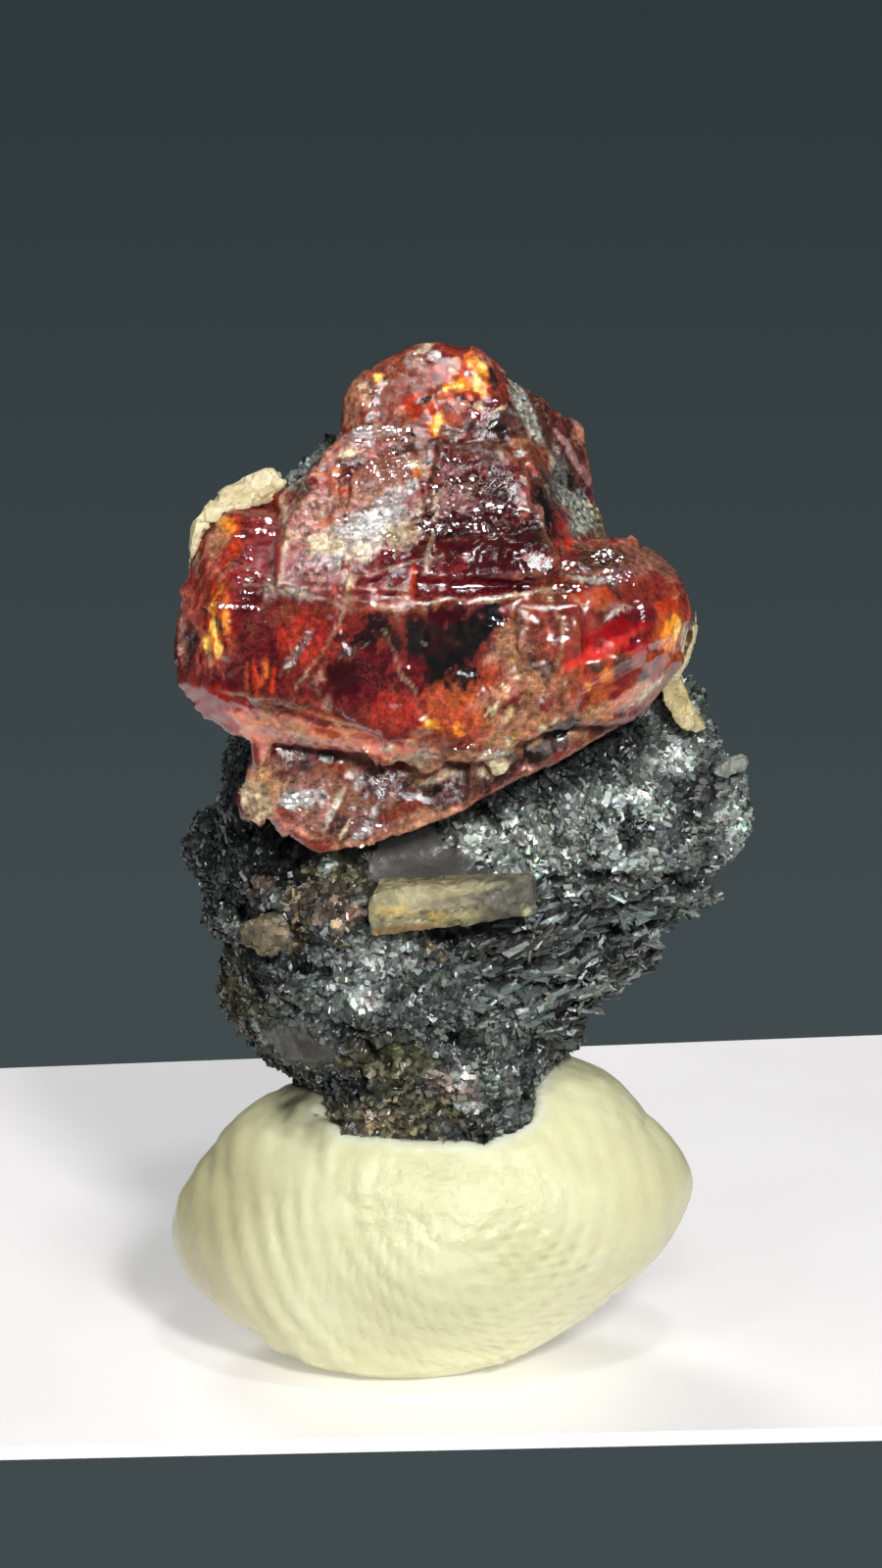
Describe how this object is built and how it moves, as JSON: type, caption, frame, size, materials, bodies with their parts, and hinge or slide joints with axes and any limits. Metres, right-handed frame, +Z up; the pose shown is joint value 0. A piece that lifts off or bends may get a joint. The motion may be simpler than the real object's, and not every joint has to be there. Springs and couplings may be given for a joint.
{
  "type": "zircon crystal specimen",
  "caption": "Red translucent zircon crystal on black biotite matrix with pale feldspar grains, standing in a pad of display putty.",
  "frame": {"origin": "centre of the specimen at the plane of the putty's flat foot, on the surface that it stands on", "axes": "+Z up, -Y towards the viewer who sees the zircon's broad front faces, +X to that viewer's right"},
  "size_m": [0.0135, 0.0114, 0.0244],
  "materials": {
    "zircon": "vitreous, deep red and translucent",
    "biotite": "rough, with glittering cleavage flakes",
    "feldspar": "dull, cream to grey",
    "putty": "soft sheen, pale yellow-green"
  },
  "bodies": {
    "root": {"zircon_crystal": "zircon", "biotite_matrix": "biotite", "feldspar_lath": "feldspar", "feldspar_rim_left": "feldspar", "feldspar_rim_right": "feldspar", "feldspar_blade_right": "feldspar", "feldspar_grain_shoulder": "feldspar", "feldspar_grain_left": "feldspar", "display_putty": "putty"}
  },
  "joints": []
}
